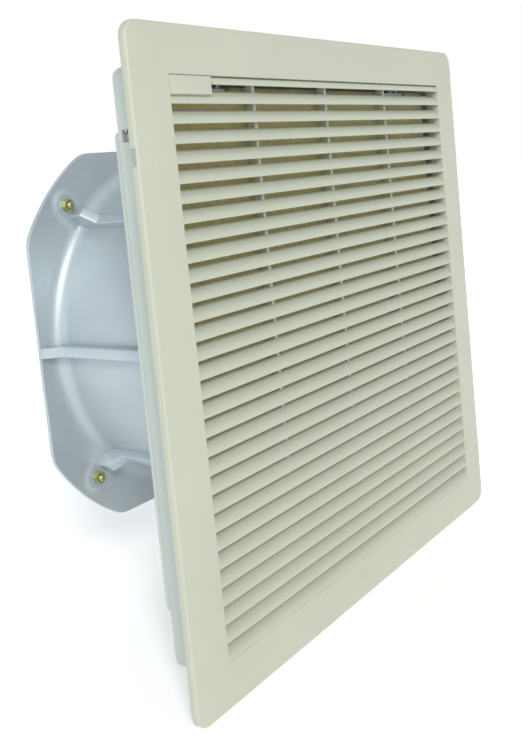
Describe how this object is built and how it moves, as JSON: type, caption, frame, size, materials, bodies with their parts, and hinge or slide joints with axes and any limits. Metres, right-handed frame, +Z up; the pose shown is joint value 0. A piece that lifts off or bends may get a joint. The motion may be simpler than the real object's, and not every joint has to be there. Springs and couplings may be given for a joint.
{
  "type": "enclosure filter fan",
  "caption": "Filter fan for a control cabinet: louvred front cover, moulded body for the panel cut-out and an axial fan in a metal drum behind it.",
  "frame": {"origin": "centre of the panel cut-out, in the plane of the panel's outer face (the gasket's rear face)", "axes": "+X right seen from the front, +Y back into the enclosure along the drum's axis, +Z up"},
  "size_m": [0.323, 0.1472, 0.323],
  "materials": {
    "plastic_cover": "fine satin grain, warm light grey",
    "plastic_body": "satin, cool light grey",
    "dark_plastic": "satin black",
    "gasket_foam": "matt closed-cell foam",
    "mat_fleece": "white non-woven fleece",
    "drum_metal": "satin pressed sheet",
    "steel": "bright zinc",
    "zinc": "yellow chromated zinc",
    "guard_wire": "bright drawn wire",
    "lamination": "dark lamination steel",
    "copper": "lacquered copper",
    "rotor_paint": "matt dark paint",
    "impeller_plastic": "matt dark grey",
    "white_plastic": "off white"
  },
  "bodies": {
    "housing": {"base_frame": "plastic_body", "panel_gasket": "gasket_foam", "filter_mat": "mat_fleece", "hinge_pins": "steel", "fan_plate": "plastic_body", "fan_plate_screws": "steel", "drum_front_ring": "drum_metal", "fan_drum": "drum_metal", "drum_screws": "steel", "cable_duct": "drum_metal", "flange_nuts": "zinc", "flange_bolts": "zinc", "motor_bracket": "guard_wire", "guard_rings": "guard_wire", "motor_base": "drum_metal", "motor_screws": "steel", "ball_bearings": "steel", "stator_core": "lamination", "stator_winding": "copper", "latch_pins": "steel", "spring_top_left": "steel", "spring_top_right": "steel", "spring_bottom_left": "steel", "spring_bottom_right": "steel", "terminal_box": "dark_plastic", "terminal_lid": "dark_plastic", "lid_screws": "steel", "terminal_block": "white_plastic", "run_capacitor": "white_plastic", "cable_gland": "dark_plastic", "gland_nut": "dark_plastic"},
    "cover": {"front_cover": "plastic_cover", "blank_plate": "plastic_cover"},
    "rotor": {"rotor_can": "rotor_paint", "rotor_core": "lamination", "motor_shaft": "steel", "retaining_ring": "steel", "impeller": "impeller_plastic"},
    "latch_top_left": {"latch_top_left": "plastic_body"},
    "latch_top_right": {"latch_top_right": "plastic_body"},
    "latch_bottom_left": {"latch_bottom_left": "plastic_body"},
    "latch_bottom_right": {"latch_bottom_right": "plastic_body"}
  },
  "joints": [
    {"name": "cover_hinge", "type": "hinge", "parent": "housing", "child": "cover", "pos_m": [0, -0.0031, -0.1589], "axis": [1, 0, 0], "range_deg": [0, 90]},
    {"name": "impeller_spin", "type": "hinge", "parent": "housing", "child": "rotor", "pos_m": [0, 0.1, 0], "axis": [0, 1, 0], "continuous": true},
    {"name": "latch_top_left_pivot", "type": "hinge", "parent": "housing", "child": "latch_top_left", "pos_m": [-0.095, 0.0155, 0.1412], "axis": [1, 0, 0], "range_deg": [0, 18], "stiffness_Nm_per_rad": 0.05, "springref_deg": -22.92, "deforming": ["spring_top_left"]},
    {"name": "latch_top_right_pivot", "type": "hinge", "parent": "housing", "child": "latch_top_right", "pos_m": [0.095, 0.0155, 0.1412], "axis": [1, 0, 0], "range_deg": [0, 18], "stiffness_Nm_per_rad": 0.05, "springref_deg": -22.92, "deforming": ["spring_top_right"]},
    {"name": "latch_bottom_left_pivot", "type": "hinge", "parent": "housing", "child": "latch_bottom_left", "pos_m": [-0.095, 0.0155, -0.1412], "axis": [1, 0, 0], "range_deg": [-18, 0], "stiffness_Nm_per_rad": 0.05, "springref_deg": 22.92, "deforming": ["spring_bottom_left"]},
    {"name": "latch_bottom_right_pivot", "type": "hinge", "parent": "housing", "child": "latch_bottom_right", "pos_m": [0.095, 0.0155, -0.1412], "axis": [1, 0, 0], "range_deg": [-18, 0], "stiffness_Nm_per_rad": 0.05, "springref_deg": 22.92, "deforming": ["spring_bottom_right"]}
  ]
}
